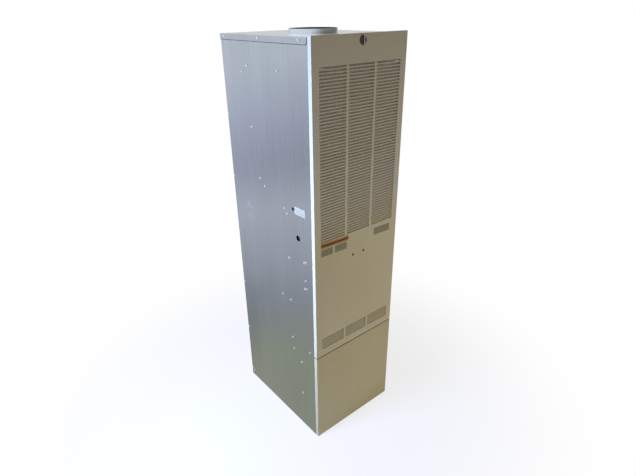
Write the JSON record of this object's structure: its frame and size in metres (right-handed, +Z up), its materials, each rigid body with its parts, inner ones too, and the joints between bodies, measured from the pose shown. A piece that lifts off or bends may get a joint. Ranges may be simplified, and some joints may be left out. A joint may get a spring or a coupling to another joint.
{
  "type": "forced-air gas furnace",
  "caption": "Tall downflow gas furnace cabinet with louvred upper door, lower door, vent collar, direct-drive blower, burners, serpentine heat exchanger and controls inside.",
  "frame": {"origin": "middle of the bounding box on the floor", "axes": "+Z up, -Y out of the doors, +X to the right of someone who faces the doors"},
  "size_m": [0.5112, 0.6496, 1.949],
  "materials": {
    "galvanised": "galvanised sheet with a faint spangle",
    "aluminised": "aluminised steel, dull",
    "door_paint": "semi-gloss off-white enamel",
    "dark_paint": "black paint",
    "dark_steel": "black iron",
    "cast_alloy": "cast alloy",
    "bright_steel": "bright plated steel",
    "screw_steel": "zinc plated",
    "brass": "turned brass",
    "copper": "varnished copper winding and laminations",
    "glass": "clear",
    "ceramic": "white ceramic",
    "black_plastic": "moulded",
    "white_plastic": "moulded",
    "red_plastic": "moulded",
    "board": "lacquered board",
    "rubber": "soft black rubber",
    "foam": "closed-cell foam strip",
    "filter_cloth": "pleated filter cloth in a card frame"
  },
  "bodies": {
    "cabinet": {"left_side": "galvanised", "right_side": "galvanised", "back_panel": "galvanised", "top_panel": "galvanised", "top_collar": "galvanised", "base_pan": "galvanised", "coil_shelf": "galvanised", "top_rail": "galvanised", "mid_rail": "galvanised", "vestibule_panel": "galvanised", "blower_deck": "galvanised", "heat_shield": "aluminised", "hx_tube_1": "aluminised", "hx_tube_2": "aluminised", "hx_tube_3": "aluminised", "hx_tube_4": "aluminised", "collector_box": "aluminised", "inducer_housing": "dark_paint", "inducer_motor": "dark_paint", "flue_adapter": "galvanised", "flue_pipe": "galvanised", "vent_duct": "galvanised", "burner_box": "galvanised", "burners": "aluminised", "orifices": "brass", "sight_glass": "glass", "igniter": "ceramic", "flame_sensor": "ceramic", "manifold": "dark_steel", "gas_valve": "cast_alloy", "gas_pipe": "dark_steel", "pressure_switch": "black_plastic", "pressure_hose": "rubber", "control_box": "galvanised", "control_board": "board", "transformer": "copper", "service_switch": "black_plastic", "door_switch": "white_plastic", "limit_switch": "black_plastic", "rollout_switch": "black_plastic", "blower_housing": "galvanised", "blower_motor": "dark_paint", "motor_mount": "galvanised", "capacitor": "cast_alloy", "blower_rails": "galvanised", "door_foam": "foam", "panel_screws": "screw_steel"},
    "upper_door": {"upper_door": "door_paint", "filters": "filter_cloth", "filter_rack": "galvanised"},
    "latch": {"latch_knob": "bright_steel", "latch_cam": "galvanised"},
    "lower_door": {"lower_door": "door_paint"},
    "blower_wheel": {"blower_wheel": "aluminised"},
    "inducer_wheel": {"inducer_wheel": "cast_alloy"},
    "gas_valve_knob": {"gas_valve_knob": "red_plastic"},
    "service_rocker": {"service_rocker": "black_plastic"},
    "door_plunger": {"door_plunger": "red_plastic"},
    "rollout_reset": {"rollout_reset": "red_plastic"}
  },
  "joints": [
    {"name": "upper_door_pull", "type": "slide", "parent": "cabinet", "child": "upper_door", "axis": [0, -1, 0], "range_m": [0, 0.35]},
    {"name": "lower_door_pull", "type": "slide", "parent": "cabinet", "child": "lower_door", "axis": [0, -1, 0], "range_m": [0, 0.35]},
    {"name": "latch_turn", "type": "hinge", "parent": "upper_door", "child": "latch", "pos_m": [0, -0.3148, 1.906], "axis": [0, 1, 0], "range_deg": [0, 90]},
    {"name": "blower_spin", "type": "hinge", "parent": "cabinet", "child": "blower_wheel", "pos_m": [0, 0.1052, 1.561], "axis": [1, 0, 0], "continuous": true},
    {"name": "inducer_spin", "type": "hinge", "parent": "cabinet", "child": "inducer_wheel", "pos_m": [-0.06, -0.1698, 1.109], "axis": [0, 1, 0], "continuous": true},
    {"name": "gas_valve_knob_turn", "type": "hinge", "parent": "cabinet", "child": "gas_valve_knob", "pos_m": [-0.2, -0.2598, 0.716], "axis": [0, 1, 0], "range_deg": [0, 90]},
    {"name": "service_switch_rock", "type": "hinge", "parent": "cabinet", "child": "service_rocker", "pos_m": [0.205, -0.2768, 0.905], "axis": [1, 0, 0], "range_deg": [0, 16]},
    {"name": "door_switch_press", "type": "slide", "parent": "cabinet", "child": "door_plunger", "axis": [0, -1, 0], "range_m": [0, 0.005]},
    {"name": "rollout_reset_press", "type": "slide", "parent": "cabinet", "child": "rollout_reset", "axis": [0, 0, -1], "range_m": [0, 0.0015], "stiffness_N_per_m": 300}
  ],
  "couplings": [
    {"joint": "door_switch_press", "follows": "upper_door_pull", "ratio": 0.01428}
  ]
}
